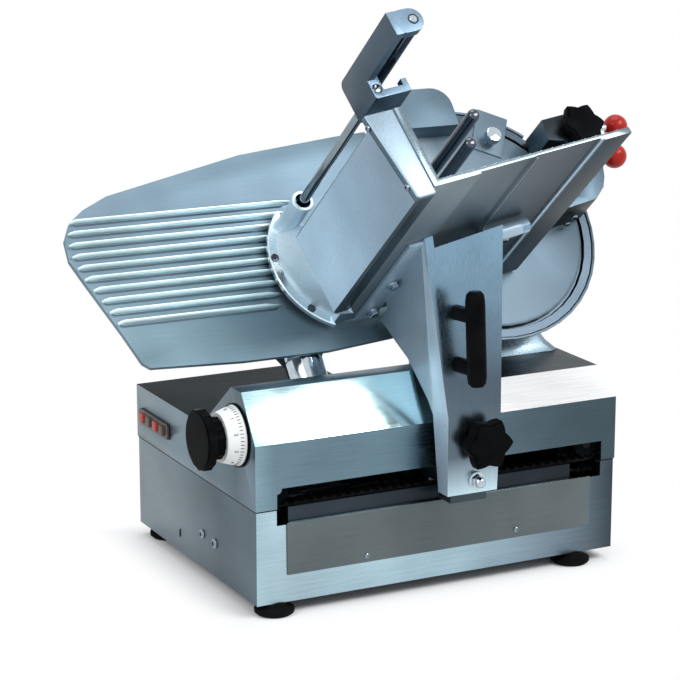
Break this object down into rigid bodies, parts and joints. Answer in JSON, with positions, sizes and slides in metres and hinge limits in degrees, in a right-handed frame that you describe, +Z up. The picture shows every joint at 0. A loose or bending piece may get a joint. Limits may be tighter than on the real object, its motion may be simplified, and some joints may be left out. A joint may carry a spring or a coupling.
{
  "type": "meat slicer",
  "caption": "Gravity-feed meat slicer: slanted round blade, gauge plate, sliding product tray with pusher on an arm, steel base with side switches.",
  "frame": {"origin": "Bottom centre of the whole machine's box, on the surface that the feet stand on.", "axes": "+X runs along the front from the switch end to the sharpener end, +Y from the front to the back, +Z up."},
  "size_m": [0.8134, 0.5096, 0.7295],
  "materials": {
    "body_steel": "stainless sheet brushed along the length, bluish silver",
    "blade_steel": "ground and polished knife steel",
    "cast_aluminium": "satin anodised aluminium",
    "slot_sheet": "warm grey brushed sheet",
    "chrome": "bright plating",
    "dark_chrome": "dark polished steel",
    "black_plastic": "black moulded plastic",
    "motor_paint": "black enamel",
    "rubber": "black rubber",
    "red_plastic": "glossy red plastic",
    "white_plastic": "white dial plastic",
    "switch_plastic": "brown grey switch plastic",
    "abrasive": "rough grey abrasive stone"
  },
  "bodies": {
    "base": {"lower_body": "body_steel", "top_cover": "body_steel", "bottom_pan": "body_steel", "slot_cover_plate": "slot_sheet", "foot_front_left": "rubber", "foot_front_right": "rubber", "foot_rear_left": "rubber", "foot_rear_right": "rubber", "switch_bezel": "switch_plastic", "drive_belt": "rubber", "carriage_motor": "motor_paint", "front_rail": "chrome", "rear_rail": "chrome", "front_bearing": "chrome", "rear_bearing": "chrome", "blade_belt": "rubber", "blade_motor": "motor_paint", "ring_guard": "cast_aluminium", "blade_cover": "cast_aluminium", "top_guard": "cast_aluminium", "blade_column": "cast_aluminium", "sharpener_body": "cast_aluminium", "gauge_guide": "chrome"},
    "blade_stop": {"blade_stop_button": "red_plastic"},
    "blade_start": {"blade_start_button": "switch_plastic"},
    "feed_stop": {"feed_stop_button": "red_plastic"},
    "feed_start": {"feed_start_button": "switch_plastic"},
    "blade_spindle": {"blade": "blade_steel", "blade_shaft": "chrome", "blade_pulley": "cast_aluminium"},
    "motor_wheel": {"motor_pulley": "cast_aluminium"},
    "carriage": {"slider_block": "cast_aluminium", "carriage_arm": "body_steel", "arm_nut": "chrome", "upper_arm_bolt": "chrome", "lower_arm_bolt": "chrome", "arm_handle": "black_plastic", "product_tray": "cast_aluminium", "end_housing": "cast_aluminium", "rod_socket": "cast_aluminium"},
    "drive_wheel": {"drive_pulley": "black_plastic"},
    "idler_wheel": {"idler_pulley": "black_plastic"},
    "arm_star": {"arm_knob": "black_plastic"},
    "rod": {"pusher_rod": "chrome"},
    "pusher": {"pusher_bracket": "cast_aluminium", "pusher_grip": "dark_chrome", "press_plate": "cast_aluminium", "upper_post": "dark_chrome", "lower_post": "dark_chrome"},
    "thickness_control": {"thickness_knob": "black_plastic", "thickness_dial": "white_plastic", "thickness_shaft": "chrome"},
    "gauge": {"gauge_plate": "cast_aluminium", "gauge_arm": "chrome"},
    "cover_screw": {"blade_cover_knob": "chrome"},
    "sharpener_star": {"sharpener_knob": "black_plastic"},
    "upper_ball": {"upper_ball_rod": "red_plastic"},
    "lower_ball": {"lower_ball_rod": "red_plastic"},
    "grinder": {"grinding_stone": "abrasive"},
    "truer": {"truing_stone": "abrasive"}
  },
  "joints": [
    {"name": "blade_stop_press", "type": "slide", "parent": "base", "child": "blade_stop", "axis": [1, 0, 0], "range_m": [0, 0.003], "stiffness_N_per_m": 400},
    {"name": "blade_start_press", "type": "slide", "parent": "base", "child": "blade_start", "axis": [1, 0, 0], "range_m": [0, 0.003], "stiffness_N_per_m": 400},
    {"name": "feed_stop_press", "type": "slide", "parent": "base", "child": "feed_stop", "axis": [1, 0, 0], "range_m": [0, 0.003], "stiffness_N_per_m": 400},
    {"name": "feed_start_press", "type": "slide", "parent": "base", "child": "feed_start", "axis": [1, 0, 0], "range_m": [0, 0.003], "stiffness_N_per_m": 400},
    {"name": "blade_spin", "type": "hinge", "parent": "base", "child": "blade_spindle", "pos_m": [0.14925, 0.08797, 0.4085], "axis": [0, -0.766, 0.6428], "continuous": true},
    {"name": "motor_spin", "type": "hinge", "parent": "base", "child": "motor_wheel", "pos_m": [0.14925, 0.02575, 0.18657], "axis": [0, -0.766, 0.6428], "continuous": true},
    {"name": "carriage_slide", "type": "slide", "parent": "base", "child": "carriage", "axis": [1, 0, 0], "range_m": [-0.18, 0.125]},
    {"name": "drive_wheel_spin", "type": "hinge", "parent": "base", "child": "drive_wheel", "pos_m": [0.20805, -0.08723, 0.154], "axis": [0, 1, 0], "continuous": true},
    {"name": "idler_wheel_spin", "type": "hinge", "parent": "base", "child": "idler_wheel", "pos_m": [-0.22375, -0.08723, 0.154], "axis": [0, 1, 0], "continuous": true},
    {"name": "arm_star_turn", "type": "hinge", "parent": "carriage", "child": "arm_star", "pos_m": [0.01825, -0.15653, 0.199], "axis": [0, 1, 0], "continuous": true},
    {"name": "rod_swing", "type": "hinge", "parent": "carriage", "child": "rod", "pos_m": [-0.12547, 0.07258, 0.43684], "axis": [0, -0.766, 0.6428], "range_deg": [0, 100]},
    {"name": "pusher_slide", "type": "slide", "parent": "rod", "child": "pusher", "axis": [0, -0.766, 0.6428], "range_m": [-0.11, 0]},
    {"name": "thickness_turn", "type": "hinge", "parent": "base", "child": "thickness_control", "pos_m": [-0.25775, -0.05923, 0.216], "axis": [1, 0, 0], "range_deg": [0, 300]},
    {"name": "gauge_slide", "type": "slide", "parent": "base", "child": "gauge", "axis": [0, 0.766, -0.6428], "range_m": [0, 0.015]},
    {"name": "cover_screw_turn", "type": "hinge", "parent": "base", "child": "cover_screw", "pos_m": [0.20827, 0.15859, 0.50045], "axis": [0, -0.766, 0.6428], "continuous": true},
    {"name": "sharpener_star_turn", "type": "hinge", "parent": "base", "child": "sharpener_star", "pos_m": [0.31225, 0.10321, 0.51581], "axis": [0, -0.766, 0.6428], "continuous": true},
    {"name": "upper_ball_push", "type": "slide", "parent": "base", "child": "upper_ball", "axis": [-1, 0, 0], "range_m": [0, 0.008], "stiffness_N_per_m": 500},
    {"name": "lower_ball_push", "type": "slide", "parent": "base", "child": "lower_ball", "axis": [-1, 0, 0], "range_m": [0, 0.008], "stiffness_N_per_m": 500},
    {"name": "grinder_slide", "type": "slide", "parent": "base", "child": "grinder", "axis": [0, -0.766, 0.6428], "range_m": [0, 0.001]},
    {"name": "truer_slide", "type": "slide", "parent": "base", "child": "truer", "axis": [0, 0.766, -0.6428], "range_m": [0, 0.001]}
  ],
  "couplings": [
    {"joint": "motor_spin", "follows": "blade_spin", "ratio": 1.8},
    {"joint": "drive_wheel_spin", "follows": "carriage_slide", "rad_per_m": -49.474},
    {"joint": "idler_wheel_spin", "follows": "carriage_slide", "rad_per_m": -49.474},
    {"joint": "thickness_turn", "follows": "gauge_slide", "rad_per_m": 349.07},
    {"joint": "grinder_slide", "follows": "upper_ball_push", "ratio": 0.125},
    {"joint": "truer_slide", "follows": "lower_ball_push", "ratio": 0.125}
  ]
}
